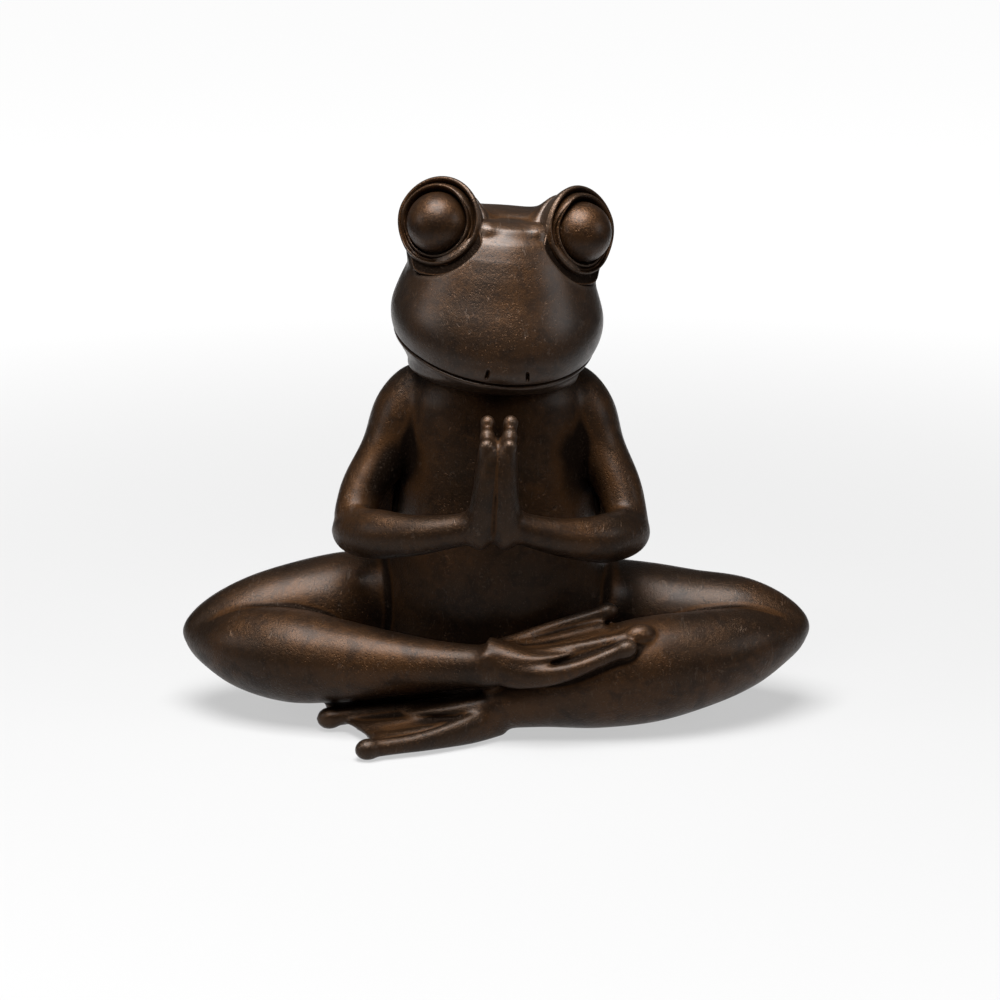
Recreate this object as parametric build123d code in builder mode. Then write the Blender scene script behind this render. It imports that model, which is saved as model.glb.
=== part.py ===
from math import cos, radians, sin
import os

from build123d import *

# Seated frog ornament, legs crossed and palms pressed together.
# The frog faces -Y, its own left is +X, and it stands on the floor at Z = 0.
# All lengths are in millimetres.

os.makedirs("parts", exist_ok=True)

# Overall size of the figure
figure_height = 262.0
half_span = 151.0
figure_depth = 158.0

# Body and head
seat_width = 120.0
body_depth = 99.0
body_height = 164.0
head_width = 101.2
head_depth = 93.5
head_height = 93.5
casting_wall = 8.0
head_turn = 8.0
head_lean = 5.2

# Limbs at their thickest
thigh_width = 54.0
thigh_height = 56.0
shin_width = 45.0
shin_height = 46.0
arm_width = 33.0
arm_height = 34.0
arm_web_width = 27.0
arm_web_thickness = 12.0
forearm_width = 22.0
forearm_height = 23.6
palm_thickness = 14.0
palm_depth = 21.0
finger_diameter = 6.6
finger_bulb_diameter = 7.0

# Feet
left_toe_diameter = 9.2
right_toe_diameter = 8.0
left_toe_bulb_diameter = 10.0
right_toe_bulb_diameter = 9.8
right_middle_bulb_diameter = 12.0
web_thickness = 3.6
left_ankle_diameter = 20.0
right_ankle_diameter = 18.0

# Eyes
eyeball_diameter = 28.4
eyeball_rise = 1.5
eyelid_diameter = 43.0
rim_ring_diameter = 34.6
rim_ring_thickness = 5.0
lid_ridge_diameter = 40.4
lid_ridge_thickness = 3.4
eyelid_base_height = 3.0
brow_length = 18.0
brow_diameter = 42.8
brow_root_diameter = 30.0

# Face
mouth_gap = 1.6
mouth_depth = 1.8
nostril_width = 1.3
nostril_height = 4.2
nostril_depth = 4.0
nostril_spacing = 18.5

# Dowels, filling plug and felt
neck_dowel_diameter = 12.0
neck_dowel_length = 30.0
hip_dowel_diameter = 10.0
hip_dowel_length = 30.0
knee_dowel_diameter = 8.0
knee_dowel_length = 22.0
shoulder_dowel_diameter = 8.0
shoulder_dowel_length = 24.0
elbow_dowel_diameter = 4.0
elbow_dowel_length = 14.0
wrist_dowel_diameter = 3.0
wrist_dowel_length = 10.0
ankle_dowel_diameter = 4.0
ankle_dowel_length = 14.0
dowel_clearance = 0.1
plug_diameter = 28.0
plug_height = 7.0
felt_thickness = 1.5
felt_margin = 2.0

# Routes through the middle of each limb: across, front to back, up
right_thigh_shares = [
    (-0.265, 0.101, 0.158),
    (-0.477, 0.051, 0.167),
    (-0.623, 0.013, 0.165),
    (-0.815, -0.038, 0.155),
    (-0.999, -0.076, 0.135),
]
left_thigh_shares = [
    (0.265, 0.101, 0.147),
    (0.483, 0.051, 0.147),
    (0.616, 0.013, 0.151),
    (0.781, -0.032, 0.160),
    (1.000, -0.076, 0.147),
]
right_shin_shares = [
    (-0.983, -0.076, 0.128),
    (-0.796, -0.146, 0.126),
    (-0.614, -0.203, 0.120),
    (-0.298, -0.316, 0.126),
    (-0.026, -0.392, 0.137),
]
left_shin_shares = [
    (0.983, -0.082, 0.143),
    (0.821, -0.146, 0.134),
    (0.662, -0.215, 0.122),
    (0.252, -0.323, 0.092),
    (-0.013, -0.361, 0.059),
]
right_upper_arm_shares = [
    (-0.199, 0.063, 0.599),
    (-0.265, 0.051, 0.550),
    (-0.341, 0.013, 0.469),
    (-0.420, -0.063, 0.405),
    (-0.446, -0.127, 0.359),
]
left_upper_arm_shares = [
    (0.192, 0.063, 0.599),
    (0.255, 0.051, 0.550),
    (0.321, 0.013, 0.471),
    (0.388, -0.063, 0.406),
    (0.414, -0.127, 0.351),
]
right_forearm_shares = [
    (-0.497, -0.108, 0.345),
    (-0.437, -0.177, 0.349),
    (-0.358, -0.253, 0.357),
    (-0.232, -0.323, 0.366),
    (-0.060, -0.367, 0.389),
]
left_forearm_shares = [
    (0.468, -0.108, 0.342),
    (0.402, -0.177, 0.345),
    (0.318, -0.259, 0.349),
    (0.199, -0.323, 0.363),
    (0.060, -0.367, 0.389),
]

# Webs that close the space behind the arms, given for the left side
arm_web_shares = [
    (0.225, 0.101, 0.557),
    (0.305, 0.095, 0.469),
    (0.351, 0.076, 0.408),
    (0.371, 0.051, 0.340),
]

# Palms from heel to knuckles, and the three fingertips of a hand, given for the left side
palm_shares = [
    (0.041, -0.377, 0.347),
    (0.037, -0.380, 0.397),
    (0.029, -0.380, 0.450),
    (0.024, -0.377, 0.500),
    (0.022, -0.373, 0.553),
]
fingertip_shares = [
    (0.034, -0.335, 0.572),
    (0.034, -0.373, 0.553),
    (0.034, -0.411, 0.540),
]
knuckle_shares = [
    (0.026, -0.342, 0.481),
    (0.026, -0.377, 0.481),
    (0.026, -0.411, 0.481),
]

# Toes from ankle to tip, front toe first
left_toe_shares = [
    [(0.020, -0.367, 0.040), (-0.079, -0.432, 0.030), (-0.212, -0.498, 0.023), (-0.394, -0.557, 0.019)],
    [(0.013, -0.361, 0.053), (-0.119, -0.367, 0.038), (-0.265, -0.348, 0.027), (-0.523, -0.297, 0.019)],
    [(0.013, -0.335, 0.053), (-0.119, -0.297, 0.034), (-0.265, -0.222, 0.023), (-0.490, -0.095, 0.019)],
]
right_toe_shares = [
    [(-0.033, -0.411, 0.145), (0.053, -0.437, 0.132), (0.146, -0.449, 0.132), (0.404, -0.411, 0.176)],
    [(-0.026, -0.380, 0.156), (0.093, -0.399, 0.156), (0.225, -0.386, 0.166), (0.450, -0.348, 0.187)],
    [(-0.026, -0.348, 0.156), (0.066, -0.317, 0.170), (0.159, -0.287, 0.185), (0.351, -0.240, 0.213)],
]

# Level sections of the body and the head: height, half width, front, back
body_section_shares = [
    (0.000, 0.383, -0.222, 0.485),
    (0.027, 0.442, -0.303, 0.566),
    (0.125, 0.500, -0.364, 0.616),
    (0.284, 0.487, -0.384, 0.611),
    (0.448, 0.433, -0.374, 0.576),
    (0.601, 0.388, -0.343, 0.525),
    (0.753, 0.371, -0.313, 0.475),
    (0.863, 0.375, -0.283, 0.424),
    (0.927, 0.354, -0.253, 0.374),
    (0.976, 0.292, -0.192, 0.303),
    (1.000, 0.208, -0.121, 0.222),
]
head_section_shares = [
    (0.045, 0.220, -0.220, 0.240),
    (0.078, 0.315, -0.350, 0.320),
    (0.116, 0.377, -0.463, 0.385),
    (0.180, 0.401, -0.527, 0.412),
    (0.267, 0.453, -0.545, 0.433),
    (0.353, 0.485, -0.540, 0.449),
    (0.439, 0.492, -0.519, 0.455),
    (0.545, 0.465, -0.476, 0.449),
    (0.652, 0.420, -0.412, 0.428),
    (0.744, 0.371, -0.332, 0.390),
    (0.832, 0.298, -0.250, 0.337),
    (0.898, 0.216, -0.172, 0.267),
    (0.940, 0.118, -0.070, 0.150),
]

# Sections along each limb: distance along the route, width, height
thigh_section_shares = [
    (0.000, 0.96, 1.00),
    (0.300, 0.96, 0.95),
    (0.500, 0.86, 0.85),
    (0.680, 0.74, 0.73),
    (0.820, 0.58, 0.57),
    (0.920, 0.39, 0.39),
    (0.970, 0.24, 0.24),
]
right_shin_section_shares = [
    (0.030, 0.28, 0.28),
    (0.080, 0.50, 0.48),
    (0.200, 0.84, 0.83),
    (0.370, 1.00, 0.96),
    (0.520, 0.88, 0.85),
    (0.700, 0.68, 0.67),
    (0.870, 0.50, 0.50),
    (1.000, 0.44, 0.44),
]
left_shin_section_shares = [
    (0.030, 0.30, 0.30),
    (0.080, 0.50, 0.48),
    (0.200, 0.82, 0.80),
    (0.370, 1.00, 0.99),
    (0.520, 1.04, 1.08),
    (0.700, 0.90, 0.98),
    (0.870, 0.66, 0.68),
    (1.000, 0.46, 0.48),
]
upper_arm_section_shares = [
    (0.000, 0.72, 0.72),
    (0.100, 0.92, 0.92),
    (0.240, 1.00, 1.00),
    (0.480, 0.82, 0.84),
    (0.750, 0.66, 0.68),
    (1.000, 0.60, 0.60),
]
arm_web_section_shares = [
    (0.000, 0.70, 1.00),
    (0.350, 1.00, 0.90),
    (0.700, 0.96, 0.80),
    (1.000, 0.60, 0.60),
]
forearm_section_shares = [
    (0.030, 0.46, 0.46),
    (0.090, 0.74, 0.76),
    (0.180, 0.94, 0.95),
    (0.350, 0.98, 1.00),
    (0.550, 0.86, 0.86),
    (0.750, 0.76, 0.73),
    (1.000, 0.68, 0.66),
]
palm_section_shares = [
    (0.030, 0.50, 0.40),
    (0.110, 0.88, 0.66),
    (0.250, 0.98, 0.82),
    (0.500, 0.90, 0.97),
    (0.750, 0.84, 1.00),
    (0.890, 0.74, 0.90),
    (0.970, 0.44, 0.60),
]
front_toe_section_shares = [
    (0.000, 1.10, 2.10),
    (0.200, 1.00, 1.70),
    (0.450, 0.92, 1.25),
    (0.700, 0.86, 0.94),
    (1.000, 0.90, 0.92),
]
toe_section_shares = [
    (0.000, 1.10, 1.20),
    (0.200, 0.96, 1.06),
    (0.550, 0.86, 0.92),
    (1.000, 0.90, 0.92),
]
instep_section_shares = [
    (0.000, 1.00, 1.00),
    (0.120, 1.00, 0.84),
    (0.260, 0.90, 0.56),
    (0.420, 0.70, 0.36),
]
web_section_shares = [
    (0.100, 2.00),
    (0.350, 1.30),
    (0.600, 1.00),
    (0.890, 0.90),
]


def spot(across, depth, up):
    """A point of the figure from its three shares of the overall size."""
    return Vector(across * half_span, depth * figure_depth, up * figure_height)


def mirrored(shares):
    """The same route on the frog's right side."""
    return [(-across, depth, up) for across, depth, up in shares]


def sections_along(line, shares, width, height, up=Vector(0, 0, 1)):
    """Ellipses square to a line, each with its own share of the full width and height."""
    ellipses = []
    for along, wide, tall in shares:
        heading = line % along
        with BuildSketch(Plane(line @ along, x_dir=up.cross(heading), z_dir=heading)) as section:
            Ellipse(width * wide / 2, height * tall / 2)
        ellipses.append(section.sketch)
    return ellipses


def level_sections(base, shares, width, depth, height, inset=0.0):
    """Ellipses level with a base plane, drawn in by an inset."""
    ellipses = []
    for up, half, front, back in shares:
        with BuildSketch(base.offset(up * height)) as section:
            with Locations((0, depth * (front + back) / 2)):
                Ellipse(width * half - inset, depth * (back - front) / 2 - inset)
        ellipses.append(section.sketch)
    return ellipses


def dowel_plane(line, along):
    """Where a dowel sits, square to a centre line."""
    return Plane(line @ along, z_dir=line % along)


def knee_plane(thigh, shin):
    """Where a dowel crosses from the thigh into the shin."""
    return Plane((thigh @ 0.55 + shin @ 0.38) / 2, z_dir=(shin @ 0.38) - (thigh @ 0.55))


def web_sections(first, second):
    """Thin ellipses that span from one toe to the next."""
    ellipses = []
    for along, thick in web_section_shares:
        span = (second @ along) - (first @ along)
        heading = (first % along) + (second % along)
        heading = heading - span * (heading.dot(span) / span.dot(span))
        middle = (first @ along + second @ along) / 2
        with BuildSketch(Plane(middle, x_dir=span, z_dir=heading)) as section:
            Ellipse(span.length / 2 + 0.12 * right_toe_diameter, web_thickness * thick / 2)
        ellipses.append(section.sketch)
    return ellipses


# Centre lines
with BuildLine() as right_thigh_line:
    Spline([spot(*point) for point in right_thigh_shares])
with BuildLine() as left_thigh_line:
    Spline([spot(*point) for point in left_thigh_shares])
with BuildLine() as right_shin_line:
    Spline([spot(*point) for point in right_shin_shares])
with BuildLine() as left_shin_line:
    Spline([spot(*point) for point in left_shin_shares])
with BuildLine() as right_upper_arm_line:
    Spline([spot(*point) for point in right_upper_arm_shares])
with BuildLine() as left_upper_arm_line:
    Spline([spot(*point) for point in left_upper_arm_shares])
with BuildLine() as right_arm_web_line:
    Spline([spot(*point) for point in mirrored(arm_web_shares)])
with BuildLine() as left_arm_web_line:
    Spline([spot(*point) for point in arm_web_shares])
with BuildLine() as right_forearm_line:
    Spline([spot(*point) for point in right_forearm_shares])
with BuildLine() as left_forearm_line:
    Spline([spot(*point) for point in left_forearm_shares])
with BuildLine() as left_palm_line:
    Spline([spot(*point) for point in palm_shares])

# The head leans and turns a little to the frog's left
neck_height = 0.63 * figure_height
turned = Location((-0.014 * half_span, 0, neck_height), (0, head_lean, head_turn))
head_frame = Plane(turned).offset(-0.15 * head_height)


def eye_plane(side):
    """The face of an eyelid, square to the way that the eye looks."""
    splay = radians(36.5)
    tilt = radians(20)
    centre = Vector(side * 0.321 * head_width, -0.16 * head_depth, 0.875 * head_height)
    gaze = Vector(side * sin(splay) * cos(tilt), -cos(splay) * cos(tilt), sin(tilt))
    start = head_frame.from_local_coords(centre)
    end = head_frame.from_local_coords(centre + gaze)
    return Plane(start, z_dir=end - start)


right_eye = eye_plane(-1)
left_eye = eye_plane(1)

# Seats of the dowels
neck_seat = Plane((0, 0.05 * figure_depth, body_height + felt_thickness))
hip_seats = [dowel_plane(right_thigh_line.line, 0.16), dowel_plane(left_thigh_line.line, 0.16)]
knee_seats = [
    knee_plane(right_thigh_line.line, right_shin_line.line),
    knee_plane(left_thigh_line.line, left_shin_line.line),
]
shoulder_seats = [
    dowel_plane(right_upper_arm_line.line, 0.26),
    dowel_plane(left_upper_arm_line.line, 0.26),
]
elbow_seats = [
    dowel_plane(right_upper_arm_line.line, 0.80),
    dowel_plane(left_upper_arm_line.line, 0.80),
]
left_wrist = dowel_plane(left_forearm_line.line, 0.95)
right_wrist = Plane(
    (-left_wrist.origin.X, left_wrist.origin.Y, left_wrist.origin.Z),
    z_dir=(-left_wrist.z_dir.X, left_wrist.z_dir.Y, left_wrist.z_dir.Z),
)
wrist_seats = [right_wrist, left_wrist]
ankle_seats = [
    dowel_plane(right_shin_line.line, 1),
    dowel_plane(left_shin_line.line, 1),
]

# Solid outer forms of the body and the head, which the neighbouring pieces are cut to
body_base = Plane.XY.offset(felt_thickness)
with BuildPart() as body_form:
    loft(level_sections(body_base, body_section_shares, seat_width, body_depth, body_height))
with BuildPart() as head_form:
    loft(level_sections(head_frame, head_section_shares, head_width, head_depth, head_height))

# Plain outer forms of the limbs, for the same use
with BuildPart() as right_thigh_form:
    loft(
        sections_along(right_thigh_line.line, thigh_section_shares, thigh_width, thigh_height)
        + [Vertex(*(right_thigh_line.line @ 1))]
    )
with BuildPart() as left_thigh_form:
    loft(
        sections_along(left_thigh_line.line, thigh_section_shares, thigh_width, thigh_height)
        + [Vertex(*(left_thigh_line.line @ 1))]
    )
with BuildPart() as right_shin_form:
    loft(
        [Vertex(*(right_shin_line.line @ 0))]
        + sections_along(right_shin_line.line, right_shin_section_shares, shin_width, shin_height)
    )
with BuildPart() as left_shin_form:
    loft(
        [Vertex(*(left_shin_line.line @ 0))]
        + sections_along(left_shin_line.line, left_shin_section_shares, shin_width, shin_height)
    )
with BuildPart() as right_forearm_form:
    loft(
        [Vertex(*(right_forearm_line.line @ 0))]
        + sections_along(
            right_forearm_line.line, forearm_section_shares, forearm_width, forearm_height
        )
    )
with BuildPart() as left_forearm_form:
    loft(
        [Vertex(*(left_forearm_line.line @ 0))]
        + sections_along(
            left_forearm_line.line, forearm_section_shares, forearm_width, forearm_height
        )
    )
forward = Vector(0, -1, 0)
with BuildPart() as left_palm_form:
    loft(
        [Vertex(*(left_palm_line.line @ 0))]
        + sections_along(
            left_palm_line.line, palm_section_shares, palm_thickness, palm_depth, forward
        )
        + [Vertex(*(left_palm_line.line @ 1))]
    )
with BuildPart() as right_palm_form:
    add(mirror(left_palm_form.part, about=Plane.YZ, mode=Mode.PRIVATE))

# Body casting, hollow, with the filling hole in its underside
plug_seat = Plane((0, 0.14 * body_depth, felt_thickness))
with BuildPart() as torso:
    add(body_form.part)
    loft(
        level_sections(
            body_base, body_section_shares[1:8], seat_width, body_depth, body_height, casting_wall
        ),
        mode=Mode.SUBTRACT,
    )
    with Locations(plug_seat):
        Cylinder(plug_diameter / 2, 2 * plug_height, mode=Mode.SUBTRACT)
    with Locations(neck_seat):
        Cylinder(neck_dowel_diameter / 2 + dowel_clearance, neck_dowel_length, mode=Mode.SUBTRACT)
    with Locations(*hip_seats):
        Cylinder(hip_dowel_diameter / 2 + dowel_clearance, hip_dowel_length, mode=Mode.SUBTRACT)
    with Locations(*shoulder_seats):
        Cylinder(shoulder_dowel_diameter / 2 + dowel_clearance, shoulder_dowel_length, mode=Mode.SUBTRACT)
torso.part.label = "torso"
export_step(torso.part, "parts/torso.step")

# Head casting, hollow, with brows for the eyes, a mouth line and nostril slits
with BuildPart() as mouth_line:
    with Locations(head_frame):
        with Locations(Location((0, -0.30 * head_depth, 0.226 * head_height), (16.7, 0, 0))):
            Box(1.2 * head_width, 0.56 * head_depth, mouth_gap)
    loft(
        level_sections(head_frame, head_section_shares, head_width, head_depth, head_height, mouth_depth),
        mode=Mode.SUBTRACT,
    )
with BuildPart() as head:
    add(head_form.part)
    for eye in (right_eye, left_eye):
        with Locations(eye.offset(-eyelid_base_height)):
            Cone(
                brow_root_diameter / 2,
                brow_diameter / 2,
                brow_length,
                align=(Align.CENTER, Align.CENTER, Align.MAX),
            )
        with Locations(eye.offset(-eyelid_base_height - brow_length)):
            Sphere(brow_root_diameter / 2)
        with Locations(eye.offset(-eyelid_base_height)):
            Cylinder(
                (lid_ridge_diameter + lid_ridge_thickness) / 2 + dowel_clearance,
                brow_length,
                align=(Align.CENTER, Align.CENTER, Align.MIN),
                mode=Mode.SUBTRACT,
            )
        with Locations(eye.offset(eyeball_rise)):
            Sphere(eyeball_diameter / 2 + dowel_clearance, mode=Mode.SUBTRACT)
    add(mouth_line.part, mode=Mode.SUBTRACT)
    with Locations(head_frame):
        with Locations(
            (-nostril_spacing / 2, -0.54 * head_depth, 0.215 * head_height),
            (nostril_spacing / 2, -0.54 * head_depth, 0.215 * head_height),
        ):
            Box(nostril_width, 2 * nostril_depth, nostril_height, mode=Mode.SUBTRACT)
    loft(
        level_sections(
            head_frame, head_section_shares[4:9], head_width, head_depth, head_height, casting_wall
        ),
        mode=Mode.SUBTRACT,
    )
    add(body_form.part, mode=Mode.SUBTRACT)
    with Locations(neck_seat):
        Cylinder(neck_dowel_diameter / 2 + dowel_clearance, neck_dowel_length, mode=Mode.SUBTRACT)
head.part.label = "head"
export_step(head.part, "parts/head.step")


def eyelid_profile(eye):
    """The plane through an eye's axis that its rings are drawn on."""
    return Plane(eye.origin, x_dir=eye.x_dir, z_dir=-eye.y_dir)


# Eyelids: a base ring, the thick rim round the ball and the lid ridge outside it
with BuildPart() as right_eyelid:
    with BuildSketch(eyelid_profile(right_eye)):
        with Locations((eyelid_diameter / 8, -eyelid_base_height / 2)):
            Rectangle(eyelid_diameter / 4, eyelid_base_height, align=(Align.MIN, Align.CENTER))
        with Locations((rim_ring_diameter / 2, 0.15 * rim_ring_thickness)):
            Circle(rim_ring_thickness / 2)
        with Locations((lid_ridge_diameter / 2, 0)):
            Circle(lid_ridge_thickness / 2)
    revolve(axis=Axis(right_eye.origin, right_eye.z_dir))
    with Locations(right_eye.offset(eyeball_rise)):
        Sphere(eyeball_diameter / 2 + dowel_clearance, mode=Mode.SUBTRACT)
right_eyelid.part.label = "right_eyelid"
export_step(right_eyelid.part, "parts/right_eyelid.step")

with BuildPart() as left_eyelid:
    with BuildSketch(eyelid_profile(left_eye)):
        with Locations((eyelid_diameter / 8, -eyelid_base_height / 2)):
            Rectangle(eyelid_diameter / 4, eyelid_base_height, align=(Align.MIN, Align.CENTER))
        with Locations((rim_ring_diameter / 2, 0.15 * rim_ring_thickness)):
            Circle(rim_ring_thickness / 2)
        with Locations((lid_ridge_diameter / 2, 0)):
            Circle(lid_ridge_thickness / 2)
    revolve(axis=Axis(left_eye.origin, left_eye.z_dir))
    with Locations(left_eye.offset(eyeball_rise)):
        Sphere(eyeball_diameter / 2 + dowel_clearance, mode=Mode.SUBTRACT)
left_eyelid.part.label = "left_eyelid"
export_step(left_eyelid.part, "parts/left_eyelid.step")

# Eyeballs, glued into the sockets of the brows
with BuildPart() as right_eyeball:
    with Locations(right_eye.offset(eyeball_rise)):
        Sphere(eyeball_diameter / 2)
right_eyeball.part.label = "right_eyeball"
export_step(right_eyeball.part, "parts/right_eyeball.step")

with BuildPart() as left_eyeball:
    with Locations(left_eye.offset(eyeball_rise)):
        Sphere(eyeball_diameter / 2)
left_eyeball.part.label = "left_eyeball"
export_step(left_eyeball.part, "parts/left_eyeball.step")

# Thighs, let into the sides of the body and rounded off at the knees
with BuildPart() as right_thigh:
    add(right_thigh_form.part)
    add(body_form.part, mode=Mode.SUBTRACT)
    with Locations(hip_seats[0]):
        Cylinder(hip_dowel_diameter / 2 + dowel_clearance, hip_dowel_length, mode=Mode.SUBTRACT)
    with Locations(knee_seats[0]):
        Cylinder(knee_dowel_diameter / 2 + dowel_clearance, knee_dowel_length, mode=Mode.SUBTRACT)
right_thigh.part.label = "right_thigh"
export_step(right_thigh.part, "parts/right_thigh.step")

with BuildPart() as left_thigh:
    add(left_thigh_form.part)
    add(body_form.part, mode=Mode.SUBTRACT)
    with Locations(hip_seats[1]):
        Cylinder(hip_dowel_diameter / 2 + dowel_clearance, hip_dowel_length, mode=Mode.SUBTRACT)
    with Locations(knee_seats[1]):
        Cylinder(knee_dowel_diameter / 2 + dowel_clearance, knee_dowel_length, mode=Mode.SUBTRACT)
left_thigh.part.label = "left_thigh"
export_step(left_thigh.part, "parts/left_thigh.step")

# Left shin, the lower of the two, cut to the thigh and the belly behind it
with BuildPart() as left_shin:
    add(left_shin_form.part)
    add(body_form.part, mode=Mode.SUBTRACT)
    add(left_thigh_form.part, mode=Mode.SUBTRACT)
    with Locations(knee_seats[1]):
        Cylinder(knee_dowel_diameter / 2 + dowel_clearance, knee_dowel_length, mode=Mode.SUBTRACT)
    with Locations(ankle_seats[1]):
        Cylinder(ankle_dowel_diameter / 2 + dowel_clearance, ankle_dowel_length, mode=Mode.SUBTRACT)
left_shin.part.label = "left_shin"
export_step(left_shin.part, "parts/left_shin.step")


def toe_line(shares):
    """The centre line of one toe."""
    with BuildLine() as line:
        Spline([spot(*point) for point in shares])
    return line.line


toe_kinds = [front_toe_section_shares, toe_section_shares, toe_section_shares]

# Left foot, webbed and flat on the floor in front
left_toes = [toe_line(shares) for shares in left_toe_shares]
with BuildPart() as left_foot:
    for toe, shares in zip(left_toes, toe_kinds):
        loft(sections_along(toe, shares, left_toe_diameter, left_toe_diameter))
        with Locations(toe @ 1):
            Sphere(left_toe_bulb_diameter / 2)
    for first, second in zip(left_toes, left_toes[1:]):
        loft(web_sections(first, second))
    loft(
        sections_along(
            left_toes[1], instep_section_shares, left_ankle_diameter, left_ankle_diameter
        )
    )
    split(bisect_by=ankle_seats[1], keep=Keep.TOP)
    add(right_shin_form.part, mode=Mode.SUBTRACT)
    with Locations(ankle_seats[1]):
        Cylinder(ankle_dowel_diameter / 2 + dowel_clearance, ankle_dowel_length, mode=Mode.SUBTRACT)
left_foot.part.label = "left_foot"
export_step(left_foot.part, "parts/left_foot.step")

# Right shin, crossing over the left one
with BuildPart() as right_shin:
    add(right_shin_form.part)
    add(body_form.part, mode=Mode.SUBTRACT)
    add(right_thigh_form.part, mode=Mode.SUBTRACT)
    add(left_shin_form.part, mode=Mode.SUBTRACT)
    with Locations(knee_seats[0]):
        Cylinder(knee_dowel_diameter / 2 + dowel_clearance, knee_dowel_length, mode=Mode.SUBTRACT)
    with Locations(ankle_seats[0]):
        Cylinder(ankle_dowel_diameter / 2 + dowel_clearance, ankle_dowel_length, mode=Mode.SUBTRACT)
right_shin.part.label = "right_shin"
export_step(right_shin.part, "parts/right_shin.step")

# Right foot, lying on the left shin
right_toes = [toe_line(shares) for shares in right_toe_shares]
right_bulb_diameters = [right_toe_bulb_diameter, right_middle_bulb_diameter, right_toe_bulb_diameter]
with BuildPart() as right_foot:
    for toe, shares, bulb_diameter in zip(right_toes, toe_kinds, right_bulb_diameters):
        loft(sections_along(toe, shares, right_toe_diameter, right_toe_diameter))
        with Locations(toe @ 1):
            Sphere(bulb_diameter / 2)
    for first, second in zip(right_toes, right_toes[1:]):
        loft(web_sections(first, second))
    loft(
        sections_along(
            right_toes[1], instep_section_shares, right_ankle_diameter, right_ankle_diameter
        )
    )
    split(bisect_by=ankle_seats[0], keep=Keep.TOP)
    add(left_shin_form.part, mode=Mode.SUBTRACT)
    with Locations(ankle_seats[0]):
        Cylinder(ankle_dowel_diameter / 2 + dowel_clearance, ankle_dowel_length, mode=Mode.SUBTRACT)
right_foot.part.label = "right_foot"
export_step(right_foot.part, "parts/right_foot.step")


# Hands, palm to palm at the middle of the chest
with BuildPart() as left_hand:
    add(left_palm_form.part)
    for knuckle, tip in zip(knuckle_shares, fingertip_shares):
        reach = spot(*tip) - spot(*knuckle)
        with Locations(Plane(spot(*knuckle), z_dir=reach)):
            Cylinder(
                finger_diameter / 2, reach.length, align=(Align.CENTER, Align.CENTER, Align.MIN)
            )
        with Locations(spot(*tip)):
            Sphere(finger_bulb_diameter / 2)
    split(bisect_by=Plane.YZ, keep=Keep.TOP)
    with Locations(wrist_seats[1]):
        Cylinder(wrist_dowel_diameter / 2 + dowel_clearance, wrist_dowel_length, mode=Mode.SUBTRACT)
left_hand.part.label = "left_hand"
export_step(left_hand.part, "parts/left_hand.step")

with BuildPart() as right_hand:
    add(mirror(left_hand.part, about=Plane.YZ, mode=Mode.PRIVATE))
right_hand.part.label = "right_hand"
export_step(right_hand.part, "parts/right_hand.step")

# Forearms, rounded at the elbows and butted against the heels of the hands
with BuildPart() as right_forearm:
    add(right_forearm_form.part)
    add(right_palm_form.part, mode=Mode.SUBTRACT)
    add(right_thigh_form.part, mode=Mode.SUBTRACT)
    split(bisect_by=Plane.YZ, keep=Keep.BOTTOM)
    with Locations(wrist_seats[0]):
        Cylinder(wrist_dowel_diameter / 2 + dowel_clearance, wrist_dowel_length, mode=Mode.SUBTRACT)
    with Locations(elbow_seats[0]):
        Cylinder(elbow_dowel_diameter / 2 + dowel_clearance, elbow_dowel_length, mode=Mode.SUBTRACT)
right_forearm.part.label = "right_forearm"
export_step(right_forearm.part, "parts/right_forearm.step")

with BuildPart() as left_forearm:
    add(left_forearm_form.part)
    add(left_palm_form.part, mode=Mode.SUBTRACT)
    add(left_thigh_form.part, mode=Mode.SUBTRACT)
    split(bisect_by=Plane.YZ, keep=Keep.TOP)
    with Locations(wrist_seats[1]):
        Cylinder(wrist_dowel_diameter / 2 + dowel_clearance, wrist_dowel_length, mode=Mode.SUBTRACT)
    with Locations(elbow_seats[1]):
        Cylinder(elbow_dowel_diameter / 2 + dowel_clearance, elbow_dowel_length, mode=Mode.SUBTRACT)
left_forearm.part.label = "left_forearm"
export_step(left_forearm.part, "parts/left_forearm.step")

# Upper arms, from the shoulders down onto the forearms
with BuildPart() as right_upper_arm:
    loft(
        sections_along(
            right_upper_arm_line.line, upper_arm_section_shares, arm_width, arm_height, forward
        )
    )
    loft(
        sections_along(
            right_arm_web_line.line,
            arm_web_section_shares,
            arm_web_width,
            arm_web_thickness,
            forward,
        )
    )
    add(body_form.part, mode=Mode.SUBTRACT)
    add(head_form.part, mode=Mode.SUBTRACT)
    add(right_forearm_form.part, mode=Mode.SUBTRACT)
    with Locations(shoulder_seats[0]):
        Cylinder(shoulder_dowel_diameter / 2 + dowel_clearance, shoulder_dowel_length, mode=Mode.SUBTRACT)
    with Locations(elbow_seats[0]):
        Cylinder(elbow_dowel_diameter / 2 + dowel_clearance, elbow_dowel_length, mode=Mode.SUBTRACT)
right_upper_arm.part.label = "right_upper_arm"
export_step(right_upper_arm.part, "parts/right_upper_arm.step")

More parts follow.
